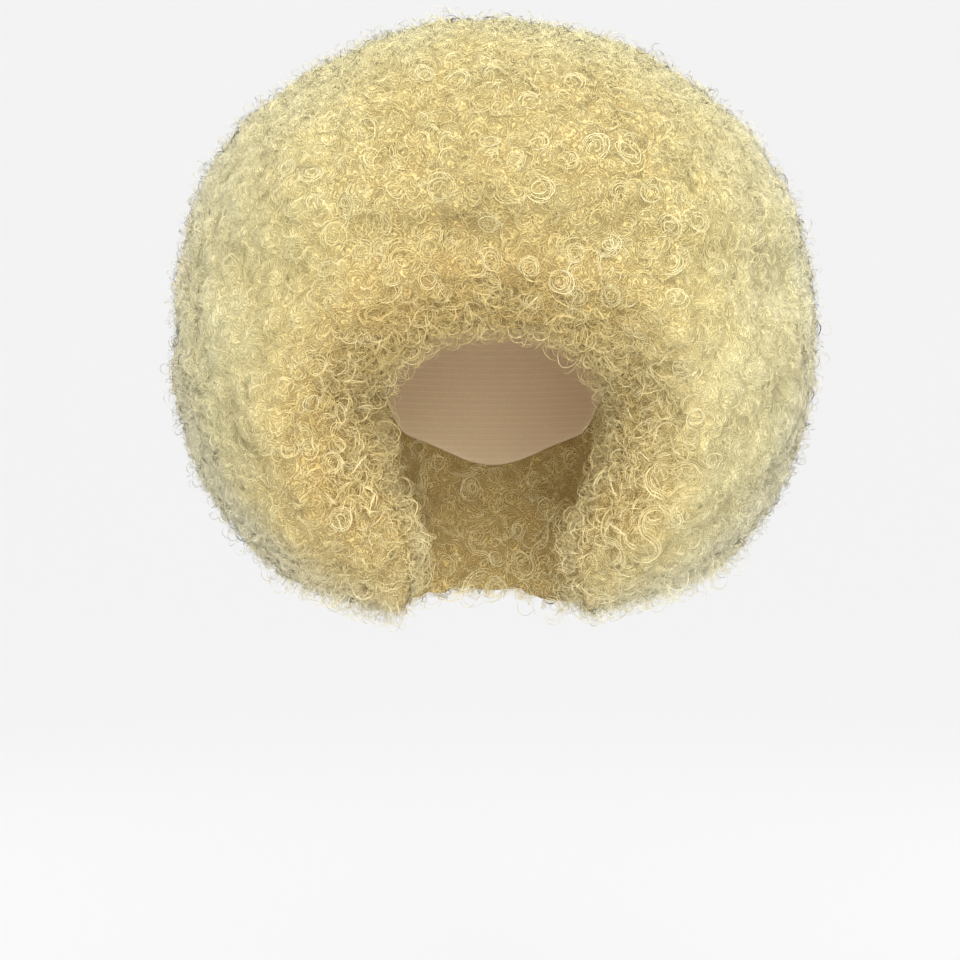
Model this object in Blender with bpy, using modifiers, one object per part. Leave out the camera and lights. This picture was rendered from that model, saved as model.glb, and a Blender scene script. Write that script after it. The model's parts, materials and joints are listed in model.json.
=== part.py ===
"""Afro wig: a stretch cap that sits on the head, and the curled hair sewn to it in five masses.

Metres, +Z up, the face towards -Y. The origin is the crown of the head, where the cap's inside rests on it.
"""

import math
import random

import bmesh
import bpy
from mathutils import Vector

# The head that the cap is cut for
HEAD_WIDTH = 0.155
HEAD_LENGTH = 0.195
CROWN_TO_WIDEST = 0.090
WIDEST_TO_CHIN = 0.150
NECK_TOP_DROP = 0.140
NECK_WIDTH = 0.112
NECK_SETBACK = 0.022

# The cap
CAP_WALL = 0.002
CAP_SEGMENTS = 38
CAP_ROWS = 9
EDGE_TOLERANCE = math.radians(0.6)

# The hair, measured out from the cap
SIDE_HAIR = 0.1225
TOP_HAIR = 0.1195
FRONT_HAIR = 0.0880
BACK_HAIR = 0.0980
HAIR_DROP = 0.2500
HAIR_WIDEST_DROP = 0.0620
UPPER_ROUNDNESS = 2.0
LOWER_ROUNDNESS = 2.7
HAIR_FACET_CUTS = 17
SEAT_GAP = 0.0003

# Bunches of curls that stand out of the hair
BUNCH_COUNT = 210
BUNCH_HEIGHT = 0.0130
BUNCH_WIDTH = 0.0640
BUNCH_NUDGE = 0.45
LEAST_FULLNESS = 0.55
BUNCH_SEED = 11

# The crease under the crown, where its hair falls over the fringe and the sides
CREASE_DROP = 0.0290
CREASE_ARCH = 0.0160
CREASE_REACH = 0.1300
CREASE_DEPTH = 0.0170
CREASE_WIDTH = 0.0170
CREASE_FADE = 0.4

# The window in the hair that the face looks out of
WINDOW_WIDTH = 0.1450
WINDOW_EYE_DROP = 0.1240
FRINGE_DROP = 0.0800
FRINGE_ARCH_ROUNDNESS = 2.0
FRINGE_STAND_OFF = 0.0080
TEMPLE_SETBACK = 0.0500
ROLL_WIDTH = 0.0800
ROLL_START = 0.22
ROLL_OVERRUN = 0.22
ARCH_STEPS = 10
CUTTER_MARGIN = 0.0400

# Where one mass of hair ends and the next begins
CROWN_PARTING_DROP = 0.0360
FRINGE_WIDTH = 0.1280
BACK_PARTING = 0.0620

# The cap's edge, at angles round the head from the face to the nape: how far down the head's arc it is cut
CAP_EDGE = (
    {"around": 0, "down_arc": 61},
    {"around": 38, "down_arc": 70},
    {"around": 66, "down_arc": 106},
    {"around": 80, "down_arc": 107},
    {"around": 100, "down_arc": 94},
    {"around": 128, "down_arc": 110},
    {"around": 180, "down_arc": 118},
)

# The window's side below the eyes: depth as a share of the way to the hair's foot, width as a share of the window's
WINDOW_SIDE = (
    {"depth": 0.00, "width": 1.00},
    {"depth": 0.23, "width": 0.93},
    {"depth": 0.41, "width": 0.86},
    {"depth": 0.55, "width": 0.73},
    {"depth": 0.66, "width": 0.64},
    {"depth": 0.80, "width": 0.65},
    {"depth": 0.92, "width": 0.69},
    {"depth": 1.05, "width": 0.74},
    {"depth": 1.30, "width": 0.76},
)

ROUGHNESS = 0.75
COLOURS = {
    "cap": (0.62, 0.50, 0.30),
    "crown": (0.80, 0.68, 0.36),
    "fringe": (0.70, 0.57, 0.29),
    "side": (0.74, 0.62, 0.33),
    "back": (0.72, 0.60, 0.32),
}


def clear_scene():
    for thing in list(bpy.data.objects):
        bpy.data.objects.remove(thing)


def make_collection(name):
    collection = bpy.data.collections.new(name)
    bpy.context.scene.collection.children.link(collection)
    return collection


def make_material(name, colour, roughness):
    material = bpy.data.materials.new(name)
    material.use_nodes = True
    shader = material.node_tree.nodes["Principled BSDF"]
    shader.inputs["Base Color"].default_value = (*colour, 1.0)
    shader.inputs["Roughness"].default_value = roughness
    shader.inputs["Metallic"].default_value = 0.0
    return material


def object_from(shape, name, collection, material=None):
    mesh = bpy.data.meshes.new(name)
    shape.to_mesh(mesh)
    shape.free()
    made = bpy.data.objects.new(name, mesh)
    collection.objects.link(made)
    if material:
        mesh.materials.append(material)
        mesh.shade_smooth()
    return made


def smooth_step(share):
    share = min(1.0, max(0.0, share))
    return share * share * (3 - 2 * share)


def read_table(rows, key, value, at):
    """The value at a place between the table's rows, eased from each row to the next."""
    if at <= rows[0][key]:
        return rows[0][value]
    for low, high in zip(rows, rows[1:]):
        if at <= high[key]:
            share = (at - low[key]) / (high[key] - low[key])
            return low[value] + (high[value] - low[value]) * smooth_step(share)
    return rows[-1][value]


def head_point(around, down_arc):
    """A point on the head. Around runs from the face at 0, and down_arc from the crown at 0."""
    height = CROWN_TO_WIDEST if down_arc <= math.pi / 2 else WIDEST_TO_CHIN
    return Vector((
        HEAD_WIDTH / 2 * math.sin(down_arc) * math.sin(around),
        -HEAD_LENGTH / 2 * math.sin(down_arc) * math.cos(around),
        height * math.cos(down_arc) - CROWN_TO_WIDEST,
    ))


def cap_edge_arc(around):
    degrees_round = math.degrees(abs(around))
    return math.radians(read_table(CAP_EDGE, "around", "down_arc", degrees_round))


def make_head_form():
    """The head as a closed surface, with a ring of corners along the cap's edge."""
    shape = bmesh.new()
    bmesh.ops.create_uvsphere(shape, u_segments=CAP_SEGMENTS, v_segments=2 * CAP_ROWS, radius=1.0)
    for v in shape.verts:
        around = math.atan2(v.co.x, -v.co.y)
        edge = cap_edge_arc(around)
        share = math.acos(max(-1.0, min(1.0, v.co.z))) / (math.pi / 2)
        if share <= 1.0:
            down_arc = share * edge
        else:
            down_arc = edge + (share - 1.0) * (math.pi - edge)
        v.co = head_point(around, down_arc)
    bmesh.ops.triangulate(shape, faces=shape.faces, quad_method="FIXED")
    return shape


def make_cap(collection, material):
    """The head form's upper part, cut along the hairline, over the ears and at the nape."""
    shape = make_head_form()
    beyond = []
    for v in shape.verts:
        around = math.atan2(v.co.x, -v.co.y)
        height = CROWN_TO_WIDEST if v.co.z > -CROWN_TO_WIDEST else WIDEST_TO_CHIN
        down_arc = math.acos(max(-1.0, min(1.0, (v.co.z + CROWN_TO_WIDEST) / height)))
        if down_arc > cap_edge_arc(around) + EDGE_TOLERANCE:
            beyond.append(v)
    bmesh.ops.delete(shape, geom=beyond, context="VERTS")
    cap = object_from(shape, "wig_cap", collection, material)
    wall = cap.modifiers.new("wall", "SOLIDIFY")
    wall.thickness = CAP_WALL
    wall.offset = 1.0
    return cap


def window_outline():
    """The face window from the front, as (x, z) points all the way round."""
    half = WINDOW_WIDTH / 2
    rise = WINDOW_EYE_DROP - FRINGE_DROP
    right = []
    for step in range(ARCH_STEPS):
        turn = math.pi / 2 * step / ARCH_STEPS
        power = 2 / FRINGE_ARCH_ROUNDNESS
        right.append((half * math.sin(turn) ** power, rise * math.cos(turn) ** power - WINDOW_EYE_DROP))
    reach = HAIR_DROP - WINDOW_EYE_DROP
    for row in WINDOW_SIDE:
        right.append((half * row["width"], -WINDOW_EYE_DROP - reach * row["depth"]))
    left = [(-x, z) for x, z in reversed(right) if x > 0]
    return right + left


def segment_distance(point, start, end):
    run = end - start
    share = max(0.0, min(1.0, (point - start).dot(run) / run.length_squared))
    return (start + run * share - point).length


def distance_from_window(x, z, outline):
    """How far a point of the front view lies outside the window, negative inside it."""
    point = Vector((x, z))
    corners = [Vector(c) for c in outline]
    inside = False
    nearest = math.inf
    for start, end in zip(corners, corners[1:] + corners[:1]):
        nearest = min(nearest, segment_distance(point, start, end))
        if (start.y > z) != (end.y > z):
            crossing = start.x + (end.x - start.x) * (z - start.y) / (end.y - start.y)
            inside = inside != (x < crossing)
    return -nearest if inside else nearest


def bunch_places():
    """Unit directions spread evenly over the hair by the golden angle, each nudged a little."""
    chance = random.Random(BUNCH_SEED)
    golden_angle = math.pi * (3 - math.sqrt(5))
    nudge = BUNCH_NUDGE / math.sqrt(BUNCH_COUNT)
    places = []
    for number in range(BUNCH_COUNT):
        height = 1 - 2 * (number + 0.5) / BUNCH_COUNT
        radius = math.sqrt(1 - height * height)
        turn = golden_angle * number
        place = Vector((radius * math.cos(turn), radius * math.sin(turn), height))
        place += Vector([chance.uniform(-nudge, nudge) for _ in range(3)])
        places.append((place.normalized(), chance.uniform(LEAST_FULLNESS, 1.0)))
    return places


def bunch_rise(direction, size, places):
    """How far the nearest bunches of curls lift the hair there."""
    best = 0.0
    for place, fullness in places:
        away = (direction - place).length * size / (BUNCH_WIDTH / 2)
        if away < 1:
            best = max(best, fullness * math.sqrt(1 - away ** 2))
    return BUNCH_HEIGHT * best


def ball_radius(direction):
    """The smooth ball of hair: its radius from the middle of its widest level."""
    upwards = direction.z > 0
    across = HEAD_WIDTH / 2 + CAP_WALL + SIDE_HAIR
    along = HEAD_LENGTH / 2 + CAP_WALL + (FRONT_HAIR if direction.y < 0 else BACK_HAIR)
    height = HAIR_WIDEST_DROP + CAP_WALL + TOP_HAIR if upwards else HAIR_DROP - HAIR_WIDEST_DROP
    roundness = UPPER_ROUNDNESS if upwards else LOWER_ROUNDNESS
    level = math.hypot(direction.x / across, direction.y / along)
    return (level ** roundness + abs(direction.z / height) ** roundness) ** (-1 / roundness)


def crease_dent(point):
    """The groove in the front of the hair, which arches down to both sides."""
    sideways = min(1.0, abs(point.x) / CREASE_REACH)
    level = -CREASE_DROP - CREASE_ARCH * sideways ** 2
    across_groove = (point.z - level) / CREASE_WIDTH
    front = smooth_step(-point.y / (HEAD_LENGTH / 2))
    return CREASE_DEPTH * front * (1 - CREASE_FADE * sideways) * math.exp(-across_groove ** 2)


def rolled_into_window(point, lift, outline):
    """Round the face the front of the hair rolls back to the hairline. The bunches stand forward of the roll."""
    forehead = -(HEAD_LENGTH / 2 + CAP_WALL + FRINGE_STAND_OFF)
    temple = TEMPLE_SETBACK - HEAD_LENGTH / 2
    down_face = (-point.z - FRINGE_DROP) / (WINDOW_EYE_DROP - FRINGE_DROP)
    rim = forehead + (temple - forehead) * smooth_step(down_face)
    if point.y >= rim:
        return point
    share = distance_from_window(point.x, point.z, outline) / ROLL_WIDTH
    share = max(-ROLL_OVERRUN, min(1.0, share))
    kept = ROLL_START + (1 - ROLL_START) * (1 - (1 - share) ** 2)
    return Vector((point.x, point.y * kept + rim * (1 - kept) - lift * (1 - kept), point.z))


def make_hair_ball(collection):
    """The whole outer form of the hair, before the head is taken out of it."""
    outline = window_outline()
    places = bunch_places()
    middle = Vector((0, 0, -HAIR_WIDEST_DROP))
    shape = bmesh.new()
    bmesh.ops.create_icosphere(shape, subdivisions=1, radius=1.0)
    bmesh.ops.subdivide_edges(shape, edges=shape.edges, cuts=HAIR_FACET_CUTS, use_grid_fill=True)
    for v in shape.verts:
        direction = v.co.normalized()
        size = ball_radius(direction)
        surface = middle + direction * size
        lift = bunch_rise(direction, size, places) - crease_dent(surface)
        v.co = rolled_into_window(surface + direction * lift, lift, outline)
    return object_from(shape, "hair_ball", collection)


def make_head_cutter(collection):
    """The head with its cap on, and the clearance that keeps the hair off them."""
    cutter = object_from(make_head_form(), "head_cutter", collection)
    swell = cutter.modifiers.new("cap and clearance", "DISPLACE")
    swell.mid_level = 0.0
    swell.strength = CAP_WALL + SEAT_GAP
    return cutter


def make_neck_cutter(collection):
    """A round way for the neck, from inside the head down past the foot of the hair."""
    length = HAIR_DROP + CUTTER_MARGIN - NECK_TOP_DROP
    shape = bmesh.new()
    bmesh.ops.create_cone(
        shape,
        cap_ends=True,
        segments=CAP_SEGMENTS,
        radius1=NECK_WIDTH / 2,
        radius2=NECK_WIDTH / 2,
        depth=length,
    )
    bmesh.ops.translate(shape, verts=shape.verts, vec=(0, NECK_SETBACK, -NECK_TOP_DROP - length / 2))
    return object_from(shape, "neck_cutter", collection)


def make_window_cutter(collection):
    """The window's outline, carried from in front of the hair to the middle of the head."""
    front = -(HEAD_LENGTH / 2 + FRONT_HAIR + BUNCH_HEIGHT + CUTTER_MARGIN)
    shape = bmesh.new()
    corners = [shape.verts.new((x, front, z)) for x, z in window_outline()]
    face = shape.faces.new(corners)
    pushed = bmesh.ops.extrude_face_region(shape, geom=[face])["geom"]
    far = [v for v in pushed if isinstance(v, bmesh.types.BMVert)]
    bmesh.ops.translate(shape, verts=far, vec=(0, -front, 0))
    bmesh.ops.recalc_face_normals(shape, faces=shape.faces)
    return object_from(shape, "window_cutter", collection)


def make_region(name, low, high, collection):
    """A box that one mass of hair is kept inside."""
    shape = bmesh.new()
    bmesh.ops.create_cube(shape, size=1.0)
    low, high = Vector(low), Vector(high)
    for v in shape.verts:
        v.co = Vector([(l + h) / 2 + c * (h - l) for l, h, c in zip(low, high, v.co)])
    return object_from(shape, name, collection)


def hair_regions():
    """The low and high corner of each mass's box. Neighbours stop half a seat gap short of their parting."""
    far = 2 * (HEAD_LENGTH + SIDE_HAIR + HAIR_DROP)
    gap = SEAT_GAP / 2
    top = -CROWN_PARTING_DROP
    half = FRINGE_WIDTH / 2
    back = BACK_PARTING
    return {
        "crown_hair": ((-far, -far, top + gap), (far, far, far)),
        "fringe_hair": ((-half + gap, -far, -WINDOW_EYE_DROP), (half - gap, 0, top - gap)),
        "side_hair_right": ((-far, -far, -far), (0, back - gap, top - gap)),
        "side_hair_left": ((0, -far, -far), (far, back - gap, top - gap)),
        "back_hair": ((-far, back + gap, -far), (far, far, top - gap)),
    }


def apply_boolean(target, cutter, operation):
    cut = target.modifiers.new(cutter.name, "BOOLEAN")
    cut.operation = operation
    cut.solver = "EXACT"
    cut.object = cutter


def bake_mesh(target):
    """Puts the result of the modifiers into the mesh, so that each mass starts from the same cut hair."""
    bpy.context.view_layer.update()
    evaluated = target.evaluated_get(bpy.context.evaluated_depsgraph_get())
    mesh = bpy.data.meshes.new_from_object(evaluated)
    target.modifiers.clear()
    target.data = mesh
    return mesh


def make_hair(parts, cutters, materials):
    """Five masses cut from one ball of hair: crown, fringe, both sides and back."""
    ball = make_hair_ball(cutters)
    hollows = (make_head_cutter(cutters), make_neck_cutter(cutters), make_window_cutter(cutters))
    for hollow in hollows:
        apply_boolean(ball, hollow, "DIFFERENCE")
    mesh = bake_mesh(ball)
    regions = hair_regions()
    fringe_low, fringe_high = (Vector(corner) for corner in regions["fringe_hair"])
    round_fringe = Vector((SEAT_GAP, 0, SEAT_GAP))
    fringe_place = make_region("fringe_place", fringe_low - round_fringe, fringe_high + round_fringe, cutters)
    for name, (low, high) in regions.items():
        mass = bpy.data.objects.new(name, mesh.copy())
        parts.objects.link(mass)
        mass.data.materials.clear()
        mass.data.materials.append(materials[name.split("_")[0]])
        mass.data.shade_smooth()
        apply_boolean(mass, make_region(name + "_region", low, high, cutters), "INTERSECT")
        if name.startswith("side_hair"):
            apply_boolean(mass, fringe_place, "DIFFERENCE")


def main():
    clear_scene()
    parts = make_collection("afro_wig")
    cutters = make_collection("cutters")
    materials = {name: make_material(name, colour, ROUGHNESS) for name, colour in COLOURS.items()}
    make_cap(parts, materials["cap"])
    make_hair(parts, cutters, materials)
    for cutter in cutters.objects:
        cutter.hide_render = True
        cutter.display_type = "WIRE"


main()
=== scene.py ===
"""Afro wig: ring curls, frizz and a stretch cap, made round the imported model.

Metres, +Z up, the face towards -Y. The origin is the crown of the head that wears the wig.
"""

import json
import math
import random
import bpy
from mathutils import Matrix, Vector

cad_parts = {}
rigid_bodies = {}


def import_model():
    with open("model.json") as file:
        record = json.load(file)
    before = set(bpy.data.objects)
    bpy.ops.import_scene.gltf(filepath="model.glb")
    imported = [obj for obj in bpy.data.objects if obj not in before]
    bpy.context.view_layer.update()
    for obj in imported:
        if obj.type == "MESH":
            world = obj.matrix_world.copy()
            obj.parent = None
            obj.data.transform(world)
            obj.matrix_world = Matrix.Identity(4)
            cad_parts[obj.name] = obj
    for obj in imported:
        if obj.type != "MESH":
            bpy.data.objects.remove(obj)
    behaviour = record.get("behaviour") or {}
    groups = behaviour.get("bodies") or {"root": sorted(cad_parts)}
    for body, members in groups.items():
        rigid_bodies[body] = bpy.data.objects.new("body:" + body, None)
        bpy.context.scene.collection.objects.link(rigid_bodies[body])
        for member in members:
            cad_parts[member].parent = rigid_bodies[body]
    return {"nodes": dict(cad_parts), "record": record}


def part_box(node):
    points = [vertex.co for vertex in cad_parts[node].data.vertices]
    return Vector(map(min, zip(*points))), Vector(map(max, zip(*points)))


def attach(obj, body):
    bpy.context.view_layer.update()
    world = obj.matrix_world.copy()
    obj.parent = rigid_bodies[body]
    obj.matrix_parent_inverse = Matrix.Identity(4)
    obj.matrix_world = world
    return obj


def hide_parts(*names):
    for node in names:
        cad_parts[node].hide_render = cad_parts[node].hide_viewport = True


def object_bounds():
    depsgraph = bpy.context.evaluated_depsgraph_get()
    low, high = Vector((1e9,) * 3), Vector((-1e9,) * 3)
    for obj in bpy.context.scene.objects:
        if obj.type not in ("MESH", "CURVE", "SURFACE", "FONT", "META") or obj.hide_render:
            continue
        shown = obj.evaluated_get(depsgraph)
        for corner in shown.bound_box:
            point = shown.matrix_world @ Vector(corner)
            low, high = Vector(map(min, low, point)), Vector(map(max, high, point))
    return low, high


bl_info = {
    "name": "Afro Wig",
    "version": (1, 0, 0),
    "blender": (4, 5, 0),
    "location": "View3D > Sidebar > Wig",
    "description": "Makes a round wig of ring curls and frizz on its cap",
    "category": "Add Mesh",
}

import bmesh
import bpy
import numpy as np
from mathutils import Vector
from mathutils.bvhtree import BVHTree
from mathutils.kdtree import KDTree

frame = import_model()
CAD_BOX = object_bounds()
BODY = "root"

HAIR_NODES = ("crown_hair", "fringe_hair", "side_hair_right", "side_hair_left", "back_hair")
CROWN, FRINGE, RIGHT, LEFT, BACK = range(len(HAIR_NODES))
CAP_NODE = "wig_cap"
SLOTS = {s["node"]: s["material_slot"] for s in frame["record"]["subparts"] if s["node"] in HAIR_NODES}
CROWN_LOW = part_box("crown_hair")[0].z
FRINGE_LOW, FRINGE_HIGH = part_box("fringe_hair")
BACK_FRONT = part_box("back_hair")[0].y
CAP_LOW, CAP_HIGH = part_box(CAP_NODE)

# The photograph's view: its middle, its distance and how much it takes in
VIEW_MIDDLE = (-0.009, 0.0, -0.169)
VIEW_DISTANCE = 1.40
VIEW_SPAN = 0.624
SENSOR = 36.0

# The window for the face, seen from the front: its middle, its half width, and how far back its rim goes
WINDOW_MIDDLE = (0.0, -0.170)
WINDOW_HALF = 0.0725
RIM_FRONT = -0.030

# Curls round the window: how far from its middle those of the rim and the fringe's rings go, and how far
# beside it, and up and down, the swept ones go
RIM_REACH = 1.75 * WINDOW_HALF
FRINGE_RINGS_REACH = 0.135
BESIDE_FACE = 0.045
SWEEPS_REACH = 0.045

# Under this height the hair that faces down has curls hanging from it, this full
HEM_HIGH = CAD_BOX[0].z + 0.05
HEM_FULLNESS = 0.45

# The length over which such stretches of curls thin out
THINNING = 0.02

# The centre front, where the curls are clearest and painted shade makes them most golden, how far from it
# rings are more than elsewhere, and over how much of that they get fewer
HEART = (0.01, -0.18, -0.01)
RINGS_REACH = 0.18
RINGS_EASING = 0.10

# How full the curls grow, where 1 is as full as in front: behind, and on the wall behind the neck
FULLNESS_BEHIND = 0.56
FULLNESS_INSIDE = 0.75

# How full the rings grow: away from the centre front, how much more there, and on the wall behind the neck
RINGS_OUTSIDE = 0.06
RINGS_AT_HEART = 0.64
RINGS_INSIDE = 0.7

# The middles of the painted shade round the face and of the whole outline, seen from the front
FACE_SHADE_MIDDLE = (-0.015, 0.0, -0.158)
OUTLINE_MIDDLE = (0.0, 0.0, -0.065)

# Where the hair's colour changes, each from where the change starts to where it is full, mostly as painted
# shade and, at the outline, painted light: distances from the middle of the painted shade round the face,
# from the centre front twice and from the outline's middle twice, and places along y and z
FACE_SHADE_BAND = (0.165, 0.085)
CLEAR_BAND = (0.20, 0.06)
HEART_SHADE_BAND = (0.18, 0.03)
INNER_SHADE_BAND = (0.19, 0.14)
OUTLINE_BACKLIGHT_BAND = (0.182, 0.205)
OFF_THE_BACK = (0.13, 0.08)
IN_FRONT = (0.04, 0.0)
OVER_THE_CHIN = (-0.22, -0.18)

# Steps of painted shade in which the hair gets darker close to the face: from where, to where, and by how
# much
FACE_SHADE_STEPS = ((0.135, 0.095, -0.13), (0.105, 0.080, -0.12))

# The share of paleness: its middle, how far strands and gaps part from it everywhere, more in the clear hair
# and more round the face, and the painted shade that the golden band at the centre front and the inner band
# add to it
MIDDLE_PALENESS = 0.6
CONTRAST = 0.3
CLEAR_CONTRAST = 0.75
FACE_CONTRAST = 0.4
HEART_SHADE = -0.30
INNER_SHADE = -0.18

# Over these shares of paleness the colour of painted shade in the gaps turns golden, and this much of the
# outline's colour is a painted, creamy backlight
GAP_SHADE_TO_GOLDEN = (-0.7, 0.1)
OUTLINE_BACKLIGHT = 0.34

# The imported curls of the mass: the width of a curl, the distance between its strands, how far they wander
LARGE_RINGS = {"Ring_Width": 0.014, "Line_Spacing": 0.0014, "Warp": 0.007}
SMALL_RINGS = {"Ring_Width": 0.0085, "Line_Spacing": 0.0011, "Warp": 0.005}

# Paleness of the mass: painted shade in the gaps, how much more on a strand, painted shade in the valleys
# and on the wall behind the neck, and painted light that fills its gaps away from the front. Then the
# painted shade of loose strands in the valleys
GAP_SHADE = -0.10
LINE_PALENESS = 0.75
MASS_VALLEY_SHADE = -0.20
INSIDE_SHADE = -0.25
MASS_GAP_LIGHT = 0.2
STRAND_VALLEY_SHADE = -0.16

# How each kind of strand looks: its paleness, how much paler it gets towards the top of a curl, as painted
# light, and from curl to curl, and how far its shading follows the mass that it grows from
STRAND_LOOKS = {
    "frizz strands": {"roughness": 0.55, "base": 0.36, "lift": 0.20, "tone": 0.44, "softness": 0.75},
    "ring strands": {"roughness": 0.5, "base": 0.42, "lift": 0.15, "tone": 0.75, "softness": 0.6},
    "wisp strands": {"roughness": 0.55, "base": 0.32, "lift": 0.20, "tone": 0.45, "softness": 0.65},
    "rim strands": {"roughness": 0.5, "base": 0.58, "lift": 0.20, "tone": 0.45, "softness": 0.45},
    "swept strands": {"roughness": 0.4, "base": 0.70, "lift": 0.10, "tone": 0.30, "softness": 0.45},
}

# How each kind of curl is scattered: how far it may tilt, its least and most size, and its seed
SCATTERS = {
    "tufts": {"Tilt": 0.9, "Least Size": 0.6, "Most Size": 1.25, "Seed": 20},
    "rings": {"Tilt": 0.45, "Least Size": 0.75, "Most Size": 1.3, "Seed": 40},
    "face_rings": {"Tilt": 0.35, "Least Size": 0.75, "Most Size": 1.05, "Seed": 50},
    "wisps": {"Tilt": 0.9, "Least Size": 0.6, "Most Size": 1.3, "Seed": 60},
    "rim_curls": {"Tilt": 0.7, "Least Size": 0.7, "Most Size": 1.3, "Seed": 80},
    "swept_curls": {"Tilt": 0.5, "Least Size": 0.7, "Most Size": 1.3, "Seed": 90},
}

# The hair mass under the curls: how far its nodes swell to close their partings, its smoothing, how near the
# cap it bears no curls, and how high its locks are behind and how wide their valleys, as shares
MASS_SWELL = 0.0004
MASS_SMOOTHING = 6
BACKED_BY_CAP = 0.0065
LOCKS_BEHIND = 0.6
VALLEY_WIDTH = 0.6

# The cap: facets that meet at less than this angle are joined, then rounded. Its net is this fine
FLAT_ANGLE = 0.7
CAP_ROUNDING = 2
NET_SCALE = 700.0

# The distances between the fringe's rings, and between swept curls, as shares of a ring's distance and width
FRINGE_RINGS_APART = 0.60
SWEPT_CURLS_APART = 1.7

# Points of a mesh as near as this are one. Each kind of curl has this many shapes, drawn from a seed
MERGE_DISTANCE = 1e-6
SHAPES_OF_EACH = 16
CURL_SEED = 5


def number_setting(name, default, description, unit="LENGTH"):
    return bpy.props.FloatProperty(name=name, description=description, default=default, unit=unit)


def colour_setting(name, default, description):
    return bpy.props.FloatVectorProperty(
        name=name, description=description, default=default, size=3, subtype="COLOR"
    )


class WigStage(bpy.types.PropertyGroup):
    """Sizes and colours of the floor, backdrop and lights"""

    floor_drop: number_setting("Floor drop", 0.62, "How far the floor lies under the crown of the head")
    floor_colour: colour_setting(
        "Floor colour", (0.80, 0.80, 0.80), "Colour of the floor and the backdrop"
    )
    floor_glow: number_setting(
        "Floor glow", 0.832, "How bright the paper looks by itself, as if lit by lamps of its own", "NONE"
    )
    floor_shading: number_setting(
        "Floor shading", 0.10, "How much of the light on the paper the camera sees as well", "NONE"
    )
    sky_strength: number_setting(
        "Surrounding light", 0.78, "Strength of the even light from all round", "NONE"
    )
    key_power: number_setting(
        "Key light", 33.5, "Power of the large soft light above and in front", "POWER"
    )
    fill_power: number_setting("Fill light", 11.5, "Power of the soft light in front", "POWER")
    back_power: number_setting(
        "Back lights", 13.0, "Power of each of the two soft lights behind the wig", "POWER"
    )


class WigHair(bpy.types.PropertyGroup):
    """Sizes and colours of the hair"""

    pale: colour_setting("Pale", (0.905, 0.85, 0.515), "Colour of the palest curls")
    golden: colour_setting("Golden", (0.78, 0.625, 0.25), "Colour of the deepest curls")
    # Painted shade: the colour that the hair's gaps round the face and its most shaded places turn towards
    gap_shade: colour_setting("Deep", (0.52, 0.37, 0.15), "Colour of the gaps in the hair round the face")
    # Painted light: the creamy colour that light through the thin hair gives its outline
    backlit_cream: colour_setting("Cream", (0.94, 0.90, 0.74), "Colour that the hair fades towards at its outline")
    # Painted shade: multiplies the hair's colour darker and warmer round the face
    face_shade_tint: colour_setting(
        "Warmth", (1.0, 0.925, 0.84), "What the hair's colour is multiplied by round the face"
    )
    mass_grain: number_setting("Mass grain", 0.0050, "Size of the facets of the hair mass")
    mass_inset: number_setting("Mass inset", 0.0040, "How far the hair mass lies under the outer form")
    lock_width: number_setting("Lock width", 0.0170, "Least distance between the middles of two locks")
    lock_height: number_setting("Lock height", 0.0024, "How far a lock stands out of the valleys round it")
    strand_width: number_setting("Strand width", 0.00030, "Width of a middling strand")
    tuft_width: number_setting("Tuft width", 0.0088, "Width of the curl that a tuft of frizz is part of")
    tuft_spacing: number_setting("Tuft spacing", 0.0046, "Least distance between two tufts")
    ring_width: number_setting("Ring width", 0.0140, "Width of a middling ring curl")
    ring_spacing: number_setting("Ring spacing", 0.0185, "Least distance between two ring curls")
    wisp_width: number_setting(
        "Wisp width", 0.0070, "Width of the loose loop that an outline wisp follows"
    )
    wisp_spacing: number_setting("Wisp spacing", 0.0038, "Least distance between two outline wisps")
    rim_spacing: number_setting(
        "Rim spacing", 0.0045, "Least distance between two curls at the window's rim"
    )


class WigCap(bpy.types.PropertyGroup):
    """Colours and sizes of the cap"""

    net_colour: colour_setting("Net colour", (0.76, 0.59, 0.38), "Colour of the cap's net")
    weft_spacing: number_setting("Weft spacing", 0.0042, "Distance between two rows of weft")


def smooth_step(share):
    share = np.clip(share, 0.0, 1.0)
    return share * share * (3 - 2 * share)


def link_object(name, mesh):
    made = bpy.data.objects.new(name, mesh)
    bpy.context.scene.collection.objects.link(made)
    return made


def evaluated_mesh(thing):
    """The object's mesh with its modifiers applied."""
    bpy.context.view_layer.update()
    evaluated = thing.evaluated_get(bpy.context.evaluated_depsgraph_get())
    return bpy.data.meshes.new_from_object(evaluated)


def apply_modifiers(thing):
    mesh = evaluated_mesh(thing)
    thing.modifiers.clear()
    thing.data = mesh


def hand_over(piece, slot, *replaced):
    """Fixes a finished piece to the wig's body and hides the nodes it stands for. The slot is not used."""
    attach(piece, BODY)
    if replaced:
        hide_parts(*replaced)


def input_named(node, name):
    """The node's shown input socket of that name."""
    return next(s for s in node.inputs if s.name == name and s.enabled)


def output_named(node, name):
    return next(s for s in node.outputs if s.name == name and s.enabled)


def feed(tree, socket, value):
    """Links a socket to an input, or sets the input to a plain value."""
    if isinstance(value, bpy.types.NodeSocket):
        tree.links.new(value, socket)
    else:
        socket.default_value = value


def add_node(tree, kind, settings=None, **inputs):
    """Adds a node, sets its settings, and feeds its inputs by name with spaces as underscores."""
    node = tree.nodes.new(kind)
    for key, value in (settings or {}).items():
        setattr(node, key, value)
    for key, value in inputs.items():
        feed(tree, input_named(node, key.replace("_", " ")), value)
    return node


def maths(tree, operation, *values):
    node = tree.nodes.new("ShaderNodeMath")
    node.operation = operation
    for socket, value in zip(node.inputs, values):
        feed(tree, socket, value)
    return node.outputs[0]


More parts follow.
